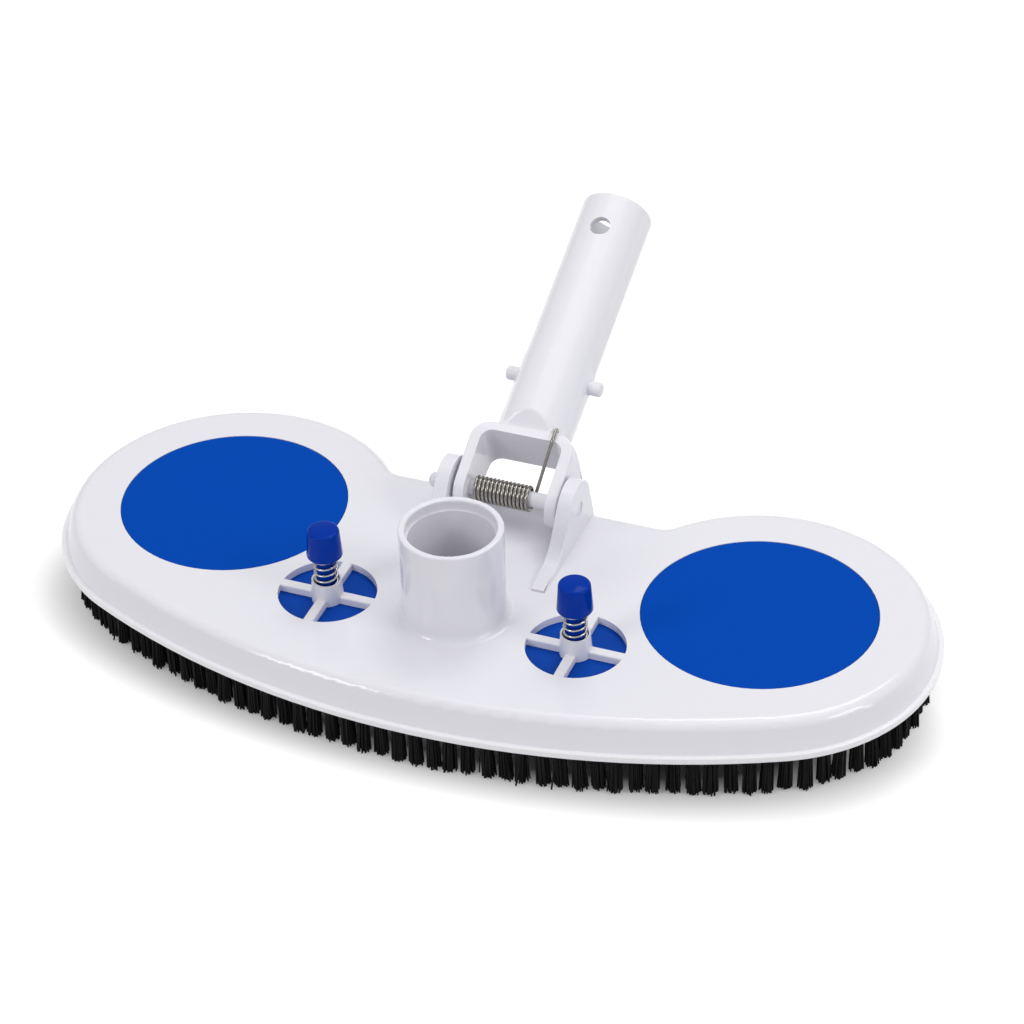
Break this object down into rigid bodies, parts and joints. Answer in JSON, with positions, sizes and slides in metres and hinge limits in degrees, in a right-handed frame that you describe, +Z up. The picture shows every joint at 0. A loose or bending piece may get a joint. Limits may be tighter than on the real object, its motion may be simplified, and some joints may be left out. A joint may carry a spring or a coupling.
{
  "type": "pool vacuum head",
  "caption": "Weighted oval pool vacuum and wall brush head with a bristle ring, hose port, relief valves and a sprung tilting pole handle.",
  "frame": {"origin": "under the middle of the bounding box, in the plane of the bristle tips", "axes": "+X to the right along the head, +Y back towards the pole handle, +Z up through the hose port"},
  "size_m": [0.3408, 0.2357, 0.1105],
  "materials": {
    "white_casing": "moulded, satin gloss",
    "white_frame": "moulded, satin gloss",
    "white_handle": "moulded, satin gloss",
    "white_axle": "moulded",
    "white_pin": "moulded",
    "blue_cover": "moulded, fine matt",
    "blue_knob": "moulded, glossy",
    "blue_disc": "moulded, satin",
    "black_bristle": "cut nylon filaments",
    "weight_iron": "cast, coated",
    "spring_steel": "drawn wire",
    "bright_spring": "bright wire",
    "stainless_screw": "stainless"
  },
  "bodies": {
    "head": {"body_shell": "white_casing", "brush_frame": "white_frame", "frame_screws": "stainless_screw", "brush_tufts_front": "black_bristle", "brush_tufts_rear": "black_bristle", "brush_tufts_left": "black_bristle", "brush_tufts_right": "black_bristle", "brush_tufts_support": "black_bristle", "weight_left": "weight_iron", "weight_right": "weight_iron", "cover_left": "blue_cover", "cover_right": "blue_cover", "valve_spring_left": "bright_spring", "valve_spring_right": "bright_spring", "pivot_axle": "white_axle", "torsion_spring": "spring_steel"},
    "handle": {"handle": "white_handle", "clip_spring": "spring_steel"},
    "valve_left": {"valve_knob_left": "blue_knob", "valve_disc_left": "blue_disc", "valve_screw_left": "stainless_screw"},
    "valve_right": {"valve_knob_right": "blue_knob", "valve_disc_right": "blue_disc", "valve_screw_right": "stainless_screw"},
    "pin_left": {"snap_pin_left": "white_pin"},
    "pin_right": {"snap_pin_right": "white_pin"}
  },
  "joints": [
    {"name": "handle_tilt", "type": "hinge", "parent": "head", "child": "handle", "pos_m": [0, -0.00538, 0.044], "axis": [1, 0, 0], "range_deg": [-17, 80], "stiffness_Nm_per_rad": 0.05, "springref_deg": 23.78, "deforming": ["torsion_spring"]},
    {"name": "valve_left_press", "type": "slide", "parent": "head", "child": "valve_left", "axis": [0, 0, -1], "range_m": [0, 0.008], "stiffness_N_per_m": 500, "springref_m": -0.004, "deforming": ["valve_spring_left"]},
    {"name": "valve_right_press", "type": "slide", "parent": "head", "child": "valve_right", "axis": [0, 0, -1], "range_m": [0, 0.008], "stiffness_N_per_m": 500, "springref_m": -0.004, "deforming": ["valve_spring_right"]},
    {"name": "snap_pin_left_press", "type": "slide", "parent": "handle", "child": "pin_left", "axis": [1, 0, 0], "range_m": [0, 0.0055], "stiffness_N_per_m": 800, "springref_m": -0.002, "deforming": ["clip_spring"]},
    {"name": "snap_pin_right_press", "type": "slide", "parent": "handle", "child": "pin_right", "axis": [-1, 0, 0], "range_m": [0, 0.0055], "stiffness_N_per_m": 800, "springref_m": -0.002, "deforming": ["clip_spring"]}
  ]
}
